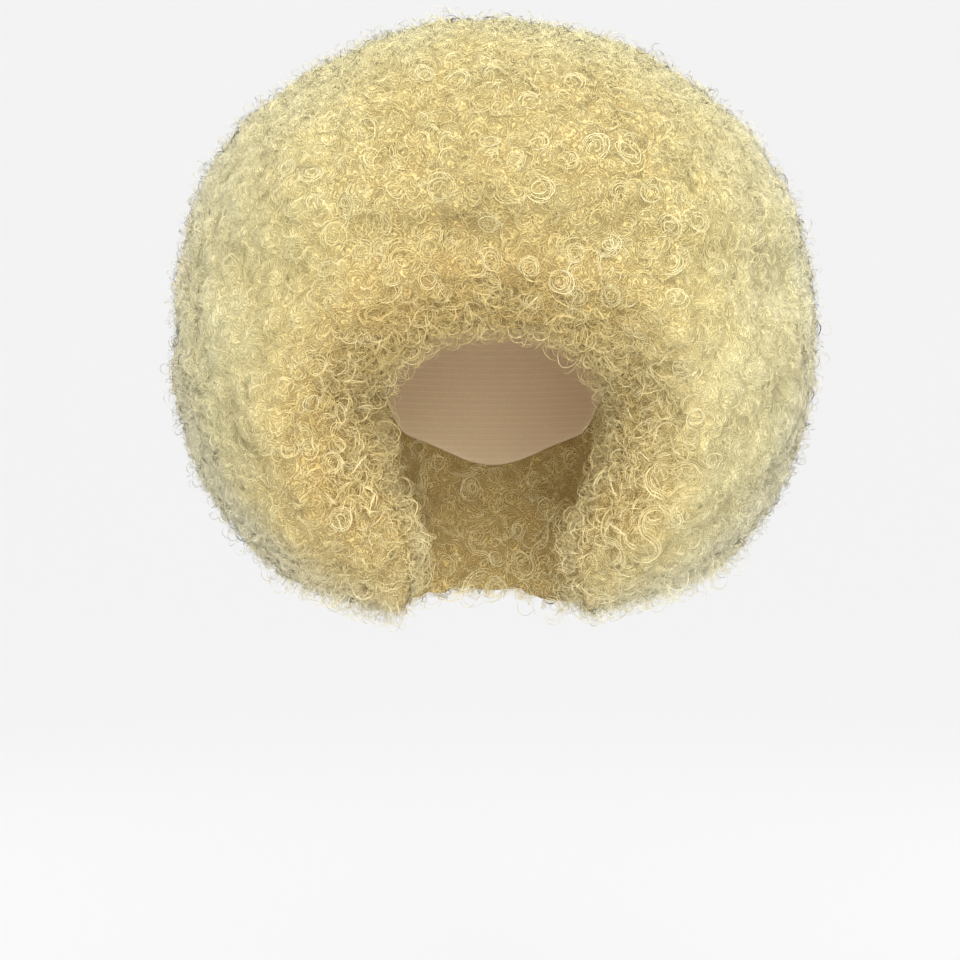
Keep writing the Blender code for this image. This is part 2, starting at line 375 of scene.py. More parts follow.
def vector_maths(tree, operation, *values):
    node = tree.nodes.new("ShaderNodeVectorMath")
    node.operation = operation
    for socket, value in zip(node.inputs, values):
        feed(tree, socket, value)
    return output_named(node, "Value" if operation in ("LENGTH", "DISTANCE") else "Vector")


def ramp(tree, value, low, high):
    """A smooth 0 to 1 as the value goes from low to high."""
    settings = {"interpolation_type": "SMOOTHSTEP"}
    node = add_node(tree, "ShaderNodeMapRange", settings, Value=value, From_Min=low, From_Max=high)
    return node.outputs[0]


def mix_colours(tree, share, low, high, blend="MIX"):
    settings = {"data_type": "RGBA", "blend_type": blend}
    node = add_node(tree, "ShaderNodeMix", settings, Factor=share, A=low, B=high)
    return output_named(node, "Result")


def new_group(name, inputs, outputs, kind="ShaderNodeTree"):
    """A node group. Inputs are (name, socket type, default), outputs (name, socket type)."""
    group = bpy.data.node_groups.new(name, kind)
    for label, socket_type, default in inputs:
        socket = group.interface.new_socket(label, in_out="INPUT", socket_type=socket_type)
        if default is not None:
            socket.default_value = default
    for label, socket_type in outputs:
        group.interface.new_socket(label, in_out="OUTPUT", socket_type=socket_type)
    return group, group.nodes.new("NodeGroupInput"), group.nodes.new("NodeGroupOutput")


def use_group(tree, group, **inputs):
    node = tree.nodes.new("ShaderNodeGroup")
    node.node_tree = group
    for key, value in inputs.items():
        feed(tree, node.inputs[key.replace("_", " ")], value)
    return node


def new_material(name, roughness, specular=0.5):
    material = bpy.data.materials.new(name)
    material.use_nodes = True
    tree = material.node_tree
    shader = tree.nodes["Principled BSDF"]
    shader.inputs["Roughness"].default_value = roughness
    shader.inputs["Specular IOR Level"].default_value = specular
    return material, tree, shader


def object_place(tree):
    return tree.nodes.new("ShaderNodeTexCoord").outputs["Object"]


def attribute(tree, name, output="Fac"):
    return add_node(tree, "ShaderNodeAttribute", {"attribute_name": name}).outputs[output]


def ring_lines_group():
    """Rings round scattered middles, as bundles of strands lie in a curl."""
    group, ins, outs = new_group(
        "ring lines",
        (
            ("Vector", "NodeSocketVector", None),
            ("Ring Width", "NodeSocketFloat", 0.012),
            ("Line Spacing", "NodeSocketFloat", 0.0011),
            ("Warp", "NodeSocketFloat", 0.006),
        ),
        (("Lines", "NodeSocketFloat"), ("Depth", "NodeSocketFloat")),
    )
    noise = add_node(group, "ShaderNodeTexNoise", Vector=ins.outputs["Vector"], Scale=140.0, Detail=3.0)
    drift = vector_maths(group, "SCALE", noise.outputs["Color"])
    feed(group, input_named(drift.node, "Scale"), ins.outputs["Warp"])
    place = vector_maths(group, "ADD", drift, ins.outputs["Vector"])
    scale = maths(group, "DIVIDE", 1.0, ins.outputs["Ring Width"])
    cells = add_node(group, "ShaderNodeTexVoronoi", Vector=place, Scale=scale)
    distance = maths(group, "MULTIPLY", cells.outputs["Distance"], ins.outputs["Ring Width"])
    turns = maths(group, "DIVIDE", distance, ins.outputs["Line Spacing"])
    wave = maths(group, "SINE", maths(group, "MULTIPLY", turns, 2 * math.pi))
    group.links.new(maths(group, "MULTIPLY_ADD", wave, 0.5, 0.5), outs.inputs["Lines"])
    group.links.new(maths(group, "SUBTRACT", 1.0, cells.outputs["Distance"]), outs.inputs["Depth"])
    return group


def hair_tint_group(hair):
    """The hair's colour from a share of paleness: painted shade makes it golden in front and warmer and
    darker by the face, and painted light makes it creamy at its outline.
    """
    group, ins, outs = new_group(
        "hair tint",
        (
            ("Vector", "NodeSocketVector", None),
            ("Paleness", "NodeSocketFloat", 0.5),
            ("Filling", "NodeSocketFloat", 0.0),
        ),
        (("Colour", "NodeSocketColor"),),
    )
    place = ins.outputs["Vector"]
    parts = add_node(group, "ShaderNodeSeparateXYZ", Vector=place).outputs
    flat = vector_maths(group, "MULTIPLY", place, (1.0, 0.0, 1.0))
    from_heart = vector_maths(group, "DISTANCE", place, HEART)
    from_face = vector_maths(group, "DISTANCE", flat, FACE_SHADE_MIDDLE)
    from_middle = vector_maths(group, "DISTANCE", flat, OUTLINE_MIDDLE)

    off_the_back = ramp(group, parts["Y"], *OFF_THE_BACK)
    # Painted shade round the face: where the hair's colour is multiplied darker and warmer
    face_shade = maths(group, "MULTIPLY", ramp(group, from_face, *FACE_SHADE_BAND), off_the_back)
    clear = maths(group, "MAXIMUM", face_shade, ramp(group, from_heart, *CLEAR_BAND))
    over_chin = ramp(group, parts["Z"], *OVER_THE_CHIN)
    in_front = maths(group, "MULTIPLY", over_chin, ramp(group, parts["Y"], *IN_FRONT))
    unclear = maths(group, "SUBTRACT", 1.0, clear)

    patches = add_node(group, "ShaderNodeTexNoise", Vector=place, Scale=24.0, Detail=3.0)
    share = maths(group, "MULTIPLY_ADD", patches.outputs["Fac"], 0.5, -0.25)
    spread = maths(group, "MULTIPLY_ADD", clear, CLEAR_CONTRAST, CONTRAST)
    spread = maths(group, "MULTIPLY_ADD", face_shade, FACE_CONTRAST, spread)
    varied = maths(group, "SUBTRACT", ins.outputs["Paleness"], MIDDLE_PALENESS)
    share = maths(group, "ADD", maths(group, "MULTIPLY_ADD", varied, spread, MIDDLE_PALENESS), share)
    changes = [
        # Painted light: the mass's gaps paler away from the clear hair
        (unclear, ins.outputs["Filling"]),
        # Painted shade: more golden at the centre front, where the hair is thickest
        (ramp(group, from_heart, *HEART_SHADE_BAND), HEART_SHADE),
        # Painted shade: the hair inside the outline darker than at it
        (ramp(group, from_middle, *INNER_SHADE_BAND), INNER_SHADE),
    ]
    # Painted shade: the hair gets darker in steps close to the face
    for low, high, amount in FACE_SHADE_STEPS:
        changes.append((maths(group, "MULTIPLY", ramp(group, from_face, low, high), in_front), amount))
    for mask, amount in changes:
        share = maths(group, "MULTIPLY_ADD", mask, amount, share)

    pale, golden, gap_shade, backlit_cream, face_shade_tint = (
        (*colour, 1.0) for colour in (hair.pale, hair.golden, hair.gap_shade, hair.backlit_cream, hair.face_shade_tint)
    )
    clamped = add_node(group, "ShaderNodeClamp", Value=share).outputs[0]
    # Painted shade: the lowest paleness turns towards the colour of shaded gaps
    colour = mix_colours(group, ramp(group, share, *GAP_SHADE_TO_GOLDEN), gap_shade, golden)
    colour = mix_colours(group, clamped, colour, pale)
    # Painted shade: darker, warmer hair round the face
    colour = mix_colours(group, face_shade, colour, mix_colours(group, 1.0, colour, face_shade_tint, "MULTIPLY"))
    # Painted light: the outline fades towards a creamy colour, as light through the thin hair there
    edge = maths(group, "MULTIPLY", ramp(group, from_middle, *OUTLINE_BACKLIGHT_BAND), OUTLINE_BACKLIGHT)
    group.links.new(mix_colours(group, edge, colour, backlit_cream), outs.inputs["Colour"])
    return group


def soft_light_group():
    """A strand's normal, turned towards that of the hair it grows from, as light scatters through hair."""
    group, ins, outs = new_group(
        "soft light",
        (("Outward", "NodeSocketVector", None), ("Share", "NodeSocketFloat", 0.6)),
        (("Normal", "NodeSocketVector"),),
    )
    own = group.nodes.new("ShaderNodeNewGeometry").outputs["Normal"]
    share, outward = ins.outputs["Share"], ins.outputs["Outward"]
    node = add_node(group, "ShaderNodeMix", {"data_type": "VECTOR"}, Factor=share, A=own, B=outward)
    turned = vector_maths(group, "NORMALIZE", output_named(node, "Result"))
    group.links.new(turned, outs.inputs["Normal"])
    return group


def mass_material(tint, rings):
    """The hair under the loose curls: ringed strands at two sizes as relief, with painted shade golden in
    their gaps, in the valleys and on the wall behind the neck.
    """
    material, tree, shader = new_material("packed curls", 0.6, 0.25)
    place = object_place(tree)
    large = use_group(tree, rings, Vector=place, **LARGE_RINGS)
    shifted = add_node(tree, "ShaderNodeMapping", Vector=place, Location=(0.31, 0.17, 0.23))
    small = use_group(tree, rings, Vector=shifted.outputs[0], **SMALL_RINGS)
    thin = [maths(tree, "POWER", rings_at.outputs["Lines"], 2.0) for rings_at in (large, small)]
    lines = maths(tree, "MAXIMUM", *thin)
    # Painted shade in the gaps between strands, in the valleys and on the wall behind the neck
    paleness = maths(tree, "MULTIPLY_ADD", lines, LINE_PALENESS, GAP_SHADE)
    for name, amount in (("valley", MASS_VALLEY_SHADE), ("inside", INSIDE_SHADE)):
        paleness = maths(tree, "MULTIPLY_ADD", attribute(tree, name), amount, paleness)
    # Painted light that lifts the mass's gaps away from the centre front
    tinted = use_group(tree, tint, Vector=place, Paleness=paleness, Filling=MASS_GAP_LIGHT)
    tree.links.new(tinted.outputs["Colour"], shader.inputs["Base Color"])
    height = maths(tree, "MULTIPLY_ADD", large.outputs["Depth"], 0.5, lines)
    bump = add_node(tree, "ShaderNodeBump", Height=height, Strength=1.0, Distance=0.0009)
    tree.links.new(bump.outputs["Normal"], shader.inputs["Normal"])
    return material


def strand_material(name):
    """Loose strands: paler towards the top of each curl, as painted light, and from curl to curl, with
    painted shade golden in the valleys.
    """
    look = STRAND_LOOKS[name]
    material, tree, shader = new_material(name, look["roughness"], 0.3)
    place = object_place(tree)
    paleness = maths(tree, "MULTIPLY_ADD", attribute(tree, "tone"), look["tone"], look["base"])
    # Painted light towards the top of each curl, painted shade in the valleys
    for label, amount in (("lift", look["lift"]), ("valley", STRAND_VALLEY_SHADE)):
        paleness = maths(tree, "MULTIPLY_ADD", attribute(tree, label), amount, paleness)
    tinted = use_group(tree, bpy.data.node_groups["hair tint"], Vector=place, Paleness=paleness)
    tree.links.new(tinted.outputs["Colour"], shader.inputs["Base Color"])
    outward = attribute(tree, "outward", "Vector")
    soft = use_group(tree, bpy.data.node_groups["soft light"], Outward=outward, Share=look["softness"])
    tree.links.new(soft.outputs["Normal"], shader.inputs["Normal"])
    return material


def cap_material(net_colour, weft_spacing):
    """Fine stretch net with close rows of weft sewn across it."""
    material, tree, shader = new_material("cap net", 0.85)
    place = object_place(tree)
    parts = add_node(tree, "ShaderNodeSeparateXYZ", Vector=place)
    rows = maths(tree, "MULTIPLY", parts.outputs["Z"], 2 * math.pi / weft_spacing)
    band = maths(tree, "MULTIPLY_ADD", maths(tree, "SINE", rows), 0.5, 0.5)
    band = maths(tree, "POWER", band, 4.0)
    threads = add_node(tree, "ShaderNodeTexNoise", Vector=place, Scale=NET_SCALE, Detail=2.0)
    meshes = {"feature": "DISTANCE_TO_EDGE"}
    net = add_node(tree, "ShaderNodeTexVoronoi", meshes, Vector=place, Scale=NET_SCALE)
    shade = maths(tree, "MULTIPLY_ADD", threads.outputs["Fac"], 0.5, 0.15)
    shade = maths(tree, "MULTIPLY_ADD", band, 0.15, shade)
    dark = tuple(0.80 * c for c in net_colour)
    pale = tuple(min(1.0, 1.15 * c) for c in net_colour)
    colour = mix_colours(tree, shade, (*dark, 1.0), (*pale, 1.0))
    tree.links.new(colour, shader.inputs["Base Color"])
    height = maths(tree, "MULTIPLY_ADD", net.outputs["Distance"], -1.6, band)
    bump = add_node(tree, "ShaderNodeBump", Height=height, Strength=0.25, Distance=0.0003)
    tree.links.new(bump.outputs["Normal"], shader.inputs["Normal"])
    return material


def mesh_from(shape, name):
    """The finished bmesh as a mesh of that name."""
    mesh = bpy.data.meshes.new(name)
    shape.to_mesh(mesh)
    shape.free()
    return mesh


def copy_of_node(name):
    """A solid node's shape, its facets joined at their corners."""
    shape = bmesh.new()
    shape.from_mesh(frame["nodes"][name].data)
    bmesh.ops.remove_doubles(shape, verts=shape.verts, dist=MERGE_DISTANCE)
    return shape


def build_cap(material):
    """The cap with its facets and its edge rounded."""
    shape = copy_of_node(CAP_NODE)
    bmesh.ops.join_triangles(
        shape, faces=shape.faces, angle_face_threshold=FLAT_ANGLE, angle_shape_threshold=FLAT_ANGLE
    )
    cap = link_object("cap", mesh_from(shape, "cap"))
    round_off = cap.modifiers.new("round off", "SUBSURF")
    round_off.levels = CAP_ROUNDING
    round_off.render_levels = CAP_ROUNDING
    apply_modifiers(cap)
    cap.data.materials.clear()
    cap.data.materials.append(material)
    cap.data.shade_smooth()
    return cap


def cap_surface():
    mesh = frame["nodes"][CAP_NODE].data
    return BVHTree.FromPolygons([v.co for v in mesh.vertices], [p.vertices for p in mesh.polygons])


def distance_to_cap(points):
    cap = cap_surface()
    return np.array([cap.find_nearest(Vector(p))[3] for p in points])


def joined_hair():
    """One mesh of all five hair nodes, each swollen a little so that the partings close."""
    shape = bmesh.new()
    for name in HAIR_NODES:
        copy = copy_of_node(name)
        copy.normal_update()
        for v in copy.verts:
            v.co += v.normal * MASS_SWELL
        swollen = mesh_from(copy, name + "_swollen")
        shape.from_mesh(swollen)
        bpy.data.meshes.remove(swollen)
    return mesh_from(shape, "hair_mass")


def mesh_points(mesh):
    co = np.empty(len(mesh.vertices) * 3)
    mesh.vertices.foreach_get("co", co)
    return co.reshape(-1, 3)


def mesh_normals(mesh):
    normals = np.empty(len(mesh.vertices) * 3)
    mesh.vertex_normals.foreach_get("vector", normals)
    return normals.reshape(-1, 3)


def store_attribute(mesh, name, values):
    made = mesh.attributes.new(name, "FLOAT", "POINT")
    made.data.foreach_set("value", np.asarray(values, dtype=np.float32))


def front_share(points):
    """1 at the front of the hair, easing to 0 at its back."""
    return smooth_step((CAD_BOX[1].y - points[:, 1]) / (CAD_BOX[1].y - CAD_BOX[0].y))


def lock_middles(points, spacing):
    """Points of the hair, picked so that no two lie nearer than the spacing."""
    order = list(range(len(points)))
    random.Random(CURL_SEED).shuffle(order)
    cells = {}
    picked = []
    for number in order:
        point = points[number]
        key = tuple((point // spacing).astype(int))
        near = [
            cells[key[0] + i, key[1] + j, key[2] + k]
            for i in (-1, 0, 1)
            for j in (-1, 0, 1)
            for k in (-1, 0, 1)
            if (key[0] + i, key[1] + j, key[2] + k) in cells
        ]
        if all(np.sum((point - points[n]) ** 2) >= spacing * spacing for group in near for n in group):
            cells.setdefault(key, []).append(number)
            picked.append(number)
    return points[picked]


def valleys_between_locks(points, spacing):
    """1 in the valleys where two locks meet, easing to 0 on the locks."""
    middles = lock_middles(points, spacing)
    tree = KDTree(len(middles))
    for number, middle in enumerate(middles):
        tree.insert(middle, number)
    tree.balance()
    edge = np.empty(len(points))
    for number, point in enumerate(points):
        nearest, second = tree.find_n(point, 2)
        edge[number] = second[2] - nearest[2]
    return 1 - smooth_step(edge / (VALLEY_WIDTH * spacing))


def build_mass(hair):
    """The hair mass: the outer form, remeshed fine, drawn in under the curls and parted into locks."""
    mass = link_object("hair_mass", joined_hair())
    remesh = mass.modifiers.new("grain", "REMESH")
    remesh.mode = "VOXEL"
    remesh.voxel_size = hair.mass_grain
    remesh.adaptivity = 0.0
    smooth = mass.modifiers.new("smooth", "SMOOTH")
    smooth.factor = 0.5
    smooth.iterations = MASS_SMOOTHING
    apply_modifiers(mass)
    points = mesh_points(mass.data)
    clear_of_cap = smooth_step(distance_to_cap(points) / (3 * BACKED_BY_CAP) - 0.33)
    valley = valleys_between_locks(points, hair.lock_width)
    height = LOCKS_BEHIND + (1 - LOCKS_BEHIND) * front_share(points)
    depth = hair.mass_inset + hair.lock_height * valley * height
    points -= mesh_normals(mass.data) * (depth * clear_of_cap)[:, None]
    mass.data.vertices.foreach_set("co", points.ravel())
    store_attribute(mass.data, "valley", valley)
    store_attribute(mass.data, "inside", ~faces_out(points, mesh_normals(mass.data)))
    mass.data.update()
    mass.data.shade_smooth()
    return mass


def ribbon(points, width, lean):
    """A strand as a strip along points, flat in the curl's plane at a lean of 0 and upright at 1.57."""
    corners = []
    for number, point in enumerate(points):
        before, after = points[max(0, number - 1)], points[min(len(points) - 1, number + 1)]
        run = (after - before).normalized()
        outwards = run.cross(Vector((0, 0, 1)))
        if outwards.length < 1e-4:
            outwards = Vector((1, 0, 0))
        outwards.normalize()
        upwards = run.cross(outwards)
        side = outwards * math.cos(lean) + upwards * math.sin(lean)
        taper = min(1.0, 0.35 + 2.2 * min(number, len(points) - 1 - number) / len(points))
        corners.append((point - side * width * taper / 2, point + side * width * taper / 2))
    return corners


def strips_mesh(name, strips):
    """One mesh of several strips, with each corner's height in it kept as its lift."""
    shape = bmesh.new()
    for corners in strips:
        rows = [[shape.verts.new(c) for c in pair] for pair in corners]
        for (a, b), (c, d) in zip(rows, rows[1:]):
            shape.faces.new((a, b, d, c))
    mesh = mesh_from(shape, name)
    mesh.shade_smooth()
    heights = mesh_points(mesh)[:, 2]
    span = max(1e-6, heights.max() - heights.min())
    store_attribute(mesh, "lift", (heights - heights.min()) / span)
    return mesh


def wound_strand(radius, turns, start, squeeze, bow, chance, steps_a_turn):
    """Points of one strand wound round a middle, flat, with its ends tucked down."""
    steps = max(4, round(steps_a_turn * turns))
    inward = chance.uniform(-0.22, 0.22)
    waver = chance.uniform(0, 2 * math.pi)
    points = []
    for step in range(steps + 1):
        share = step / steps
        turn = start + 2 * math.pi * turns * share
        reach = radius * (1 + inward * (share - 0.5) + 0.05 * math.sin(3 * turn + waver))
        tuck = bow * (1 - math.sin(math.pi * share)) ** 2
        height = 0.10 * radius * math.sin(2 * turn + waver) - tuck
        points.append(Vector((reach * math.cos(turn), squeeze * reach * math.sin(turn), height)))
    return points


def frizz_tuft(name, hair, chance):
    """A few strands lying side by side round part of a curl."""
    width, strand = hair.tuft_width, hair.strand_width
    strips = []
    squeeze = chance.uniform(0.7, 1.0)
    radius = width / 2 * chance.uniform(0.6, 1.15)
    start = chance.uniform(0, 2 * math.pi)
    turns = chance.uniform(0.38, 0.72)
    apart = chance.uniform(0.0006, 0.0011)
    for number in range(3):
        points = wound_strand(
            radius=radius + apart * (number - 1),
            turns=turns * chance.uniform(0.75, 1.1),
            start=start + chance.uniform(-0.5, 0.5),
            squeeze=squeeze,
            bow=0.0028,
            chance=chance,
            steps_a_turn=10,
        )
        rise = Vector((0, 0, chance.uniform(0.0002, 0.0026)))
        wide = strand * chance.uniform(0.85, 1.25)
        strips.append(ribbon([p + rise for p in points], wide, chance.uniform(-0.7, 0.7)))
    return strips_mesh(name, strips)


def ring_curl(name, hair, chance):
    """A ring curl seen from its end: several strands wound one inside the other."""
    width, strand = hair.ring_width, hair.strand_width
    drift = 0.035 * width
    strips = []
    squeeze = chance.uniform(0.80, 1.0)
    for share in (1.0, 0.91, 0.82, 0.68, 0.45):
        points = wound_strand(
            radius=width / 2 * share * chance.uniform(0.95, 1.05),
            turns=chance.uniform(0.65, 1.25),
            start=chance.uniform(0, 2 * math.pi),
            squeeze=squeeze,
            bow=0.0030,
            chance=chance,
            steps_a_turn=15,
        )
        rise = 0.0012 + 0.0018 * (1 - share)
        shift = Vector((chance.uniform(-drift, drift), chance.uniform(-drift, drift), rise))
        wide = strand * chance.uniform(0.85, 1.25)
        strips.append(ribbon([p + shift for p in points], wide, chance.uniform(-0.6, 0.6)))
    return strips_mesh(name, strips)


def swept_curl(name, hair, chance):
    """A longer lock beside the face that swings one way and then the other, like a letter S."""
    radius = 0.55 * hair.ring_width * chance.uniform(0.85, 1.15)
    strips = []
    sweep = chance.uniform(1.15, 1.5)
    for number in range(5):
        apart = (number - 2) * 0.0011 * chance.uniform(0.7, 1.2)
        points = []
        for share in np.linspace(-1, 1, 19):
            turn = sweep * math.pi * share
            side = 1 if share >= 0 else -1
            reach = radius + side * apart
            points.append(
                Vector((
                    side * (radius - reach * math.cos(turn)),
                    reach * math.sin(abs(turn)) * 0.9 * side,
                    0.0022 + 0.0016 * math.cos(1.4 * turn) - 0.0030 * abs(share) ** 3,
                ))
            )
        shift = Vector((chance.uniform(-0.0008, 0.0008), chance.uniform(-0.0008, 0.0008), 0))
        wide = hair.strand_width * chance.uniform(0.8, 1.1)
        strips.append(ribbon([p + shift for p in points], wide, chance.uniform(-0.6, 0.6)))
    return strips_mesh(name, strips)


def stand_up(points, height):
    """The flat points turned to stand on the hair, their lowest point at the given height."""
    stood = [Vector((p.x, p.z, p.y)) for p in points]
    lowest = min(p.z for p in stood)
    return [p + Vector((0, 0, height - lowest)) for p in stood]


def outline_wisp(name, hair, chance):
    """A fine loose loop that stands out of the hair."""
    radius = hair.wisp_width / 2 * chance.uniform(0.55, 1.1)
    turns = chance.uniform(0.45, 0.95)
    points = wound_strand(
        radius=radius,
        turns=turns,
        start=chance.uniform(0, 2 * math.pi),
        squeeze=1.0,
        bow=0.0,
        chance=chance,
        steps_a_turn=9,
    )
    points = stand_up(points, chance.uniform(-0.0020, 0.0030))
    return strips_mesh(name, [ribbon(points, hair.strand_width * 0.8, chance.uniform(0.5, 1.1))])


def rim_curl(name, hair, chance):
    """Two or three fine rings that hang over the window's rim."""
    strips = []
    width = hair.ring_width * chance.uniform(0.5, 0.95)
    for share in chance.choice(((1.0, 0.8), (1.0, 0.86, 0.62))):
        points = wound_strand(
            radius=width / 2 * share * chance.uniform(0.9, 1.1),
            turns=chance.uniform(0.7, 1.2),
            start=chance.uniform(0, 2 * math.pi),
            squeeze=chance.uniform(0.8, 1.0),
            bow=0.0,
            chance=chance,
            steps_a_turn=12,
        )
        points = stand_up(points, chance.uniform(-0.0030, 0.0025))
        wide = hair.strand_width * chance.uniform(0.8, 1.2)
        strips.append(ribbon(points, wide, chance.uniform(0.4, 1.2)))
    return strips_mesh(name, strips)


def shape_collection(name, maker, hair):
    """A hidden collection of strand shapes to scatter."""
    chance = random.Random(CURL_SEED)
    shapes = bpy.data.collections.new(name)
    for number in range(SHAPES_OF_EACH):
        label = f"{name}_{number:02d}"
        shapes.objects.link(bpy.data.objects.new(label, maker(label, hair, chance)))
    return shapes


def clear_collection(shapes):
    for thing in list(shapes.objects):
        mesh = thing.data
        bpy.data.objects.remove(thing)
        bpy.data.meshes.remove(mesh)
    bpy.data.collections.remove(shapes)


def random_value(tree, low, high, seed):
    settings = {"data_type": "FLOAT"}
    node = add_node(tree, "FunctionNodeRandomValue", settings, Min=low, Max=high, Seed=seed)
    return output_named(node, "Value")


def scatter_tree():
    """Strand shapes scattered evenly over a surface, each turned, tilted and sized by chance."""
    tree, group_input, group_output = new_group(
        "scatter curls",
        (
            ("Geometry", "NodeSocketGeometry", None),
            ("Shapes", "NodeSocketCollection", None),
            ("Spacing", "NodeSocketFloat", 0.008),
            ("Tilt", "NodeSocketFloat", 0.6),
            ("Least Size", "NodeSocketFloat", 0.7),
            ("Most Size", "NodeSocketFloat", 1.2),
            ("Seed", "NodeSocketInt", 1),
            ("Material", "NodeSocketMaterial", None),
        ),
        (("Geometry", "NodeSocketGeometry"),),
        "GeometryNodeTree",
    )
    ins = group_input.outputs
    thickness = add_node(tree, "GeometryNodeInputNamedAttribute", {"data_type": "FLOAT"}, Name="fullness")
    scatter = add_node(
        tree,
        "GeometryNodeDistributePointsOnFaces",
        {"distribute_method": "POISSON"},
        Mesh=ins["Geometry"],
        Distance_Min=ins["Spacing"],
        Density_Max=1e6,
        Density_Factor=output_named(thickness, "Attribute"),
        Seed=ins["Seed"],
    )
    shapes = add_node(
        tree,
        "GeometryNodeCollectionInfo",
        Collection=ins["Shapes"],
        Separate_Children=True,
        Reset_Children=True,
    )
    tilt = random_value(tree, maths(tree, "MULTIPLY", ins["Tilt"], -1.0), ins["Tilt"], 11)
    turn = add_node(tree, "ShaderNodeCombineXYZ", X=tilt)
    tilted = add_node(tree, "FunctionNodeEulerToRotation", Euler=turn.outputs[0])
    around = add_node(tree, "ShaderNodeCombineXYZ", Z=random_value(tree, 0.0, 2 * math.pi, 12))
    spun = add_node(tree, "FunctionNodeEulerToRotation", Euler=around.outputs[0])
    rotation = output_named(scatter, "Rotation")
    for step in (spun, tilted):
        rotation = add_node(
            tree,
            "FunctionNodeRotateRotation",
            {"rotation_space": "LOCAL"},
            Rotation=rotation,
            Rotate_By=step.outputs[0],
        ).outputs[0]
    geometry = add_node(
        tree,
        "GeometryNodeInstanceOnPoints",
        Points=output_named(scatter, "Points"),
        Instance=shapes.outputs[0],
        Pick_Instance=True,
        Rotation=rotation,
        Scale=random_value(tree, ins["Least Size"], ins["Most Size"], 13),
    ).outputs[0]
    stored = (
        ("tone", "FLOAT", random_value(tree, 0.0, 1.0, 14)),
        ("outward", "FLOAT_VECTOR", output_named(scatter, "Normal")),
    )
    for name, kind, value in stored:
        geometry = add_node(
            tree,
            "GeometryNodeStoreNamedAttribute",
            {"data_type": kind, "domain": "INSTANCE"},
            Geometry=geometry,
            Name=name,
            Value=value,
        ).outputs[0]
    real = add_node(tree, "GeometryNodeRealizeInstances", Geometry=geometry)
    finished = add_node(
        tree, "GeometryNodeSetMaterial", Geometry=real.outputs[0], Material=ins["Material"]
    )
    tree.links.new(finished.outputs[0], group_output.inputs["Geometry"])
    return tree


def set_inputs(modifier, values):
    """Sets a Geometry Nodes modifier's inputs by their socket names."""
    for item in modifier.node_group.interface.items_tree:
        if item.item_type == "SOCKET" and item.in_out == "INPUT" and item.name in values:
            modifier[item.identifier] = values[item.name]


def zone_of(centres):
    """The zone that each point lies in, as a number in HAIR_NODES."""
    zones = np.where(centres[:, 0] < 0, RIGHT, LEFT)
    zones[centres[:, 1] > BACK_FRONT] = BACK
    in_fringe = (
        (centres[:, 0] > FRINGE_LOW.x)
        & (centres[:, 0] < FRINGE_HIGH.x)
        & (centres[:, 1] < FRINGE_HIGH.y)
        & (centres[:, 2] > FRINGE_LOW.z)
    )
    zones[in_fringe] = FRINGE
    zones[centres[:, 2] > CROWN_LOW] = CROWN
    return zones


def faces_out(points, normals):
    """Which points lie on the outside of the hair, and not in the way for the neck."""
    axis = np.stack([points[:, 0], points[:, 1] - CAP_HIGH.y / 4, np.zeros(len(points))], 1)
    return (np.sum(axis * normals, 1) > 0) | (points[:, 2] > CROWN_LOW)


def full_everywhere(points, normals):
    """Curls all over, fully in front and fewer behind."""
    outside = FULLNESS_BEHIND + (1 - FULLNESS_BEHIND) * front_share(points)
    return np.where(faces_out(points, normals), outside, FULLNESS_INSIDE)


def full_at_heart(points, normals):
    """Curls all over, most of them at the centre front."""
    from_heart = np.linalg.norm(points - np.array(HEART), axis=1)
    outside = RINGS_OUTSIDE + RINGS_AT_HEART * smooth_step((RINGS_REACH - from_heart) / RINGS_EASING)
    return np.where(faces_out(points, normals), outside, RINGS_INSIDE)


def towards_window(points, normals):
    """How far each point's normal looks to the window's middle, and how far from that middle it lies."""
    across = WINDOW_MIDDLE[0] - points[:, 0]
    up = WINDOW_MIDDLE[1] - points[:, 2]
    away = np.maximum(1e-6, np.hypot(across, up))
    return (across * normals[:, 0] + up * normals[:, 2]) / away, away


def full_at_rim(points, normals):
    """Curls where the hair turns in to the window, and along its lower edge."""
    facing, away = towards_window(points, normals)
    near = smooth_step((RIM_REACH - away) / THINNING)
    in_front = np.where(points[:, 1] < RIM_FRONT, smooth_step((facing - 0.22) / 0.4) * near, 0.0)
    low = smooth_step((HEM_HIGH - points[:, 2]) / THINNING)
    return np.maximum(in_front, HEM_FULLNESS * smooth_step((-0.35 - normals[:, 2]) / 0.3) * low)


def full_over_face(points, normals):
    """Curls on the fringe alone, down to its lower edge."""
    _, away = towards_window(points, normals)
    over_face = (points[:, 1] < RIM_FRONT) & (points[:, 2] > WINDOW_MIDDLE[1]) & (normals[:, 1] < -0.2)
    return np.where(over_face, smooth_step((FRINGE_RINGS_REACH - away) / THINNING), 0.0)


def full_of_sweeps(points, normals):
    """Swept curls close beside the face, fewer at the wearer's right, and on the wall behind the neck."""
    _, away = towards_window(points, normals)
    beside = (away > WINDOW_HALF) & (away < WINDOW_HALF + BESIDE_FACE) & (points[:, 1] < RIM_FRONT)
    beside &= (abs(points[:, 2] - WINDOW_MIDDLE[1]) < SWEEPS_REACH) & (normals[:, 1] < -0.3)
    behind = ~faces_out(points, normals) & (points[:, 1] > 0) & (points[:, 2] < CAP_LOW.z)
    return np.where(beside, np.where(points[:, 0] > 0, 1.0, 0.2), np.where(behind, 0.8, 0.0))


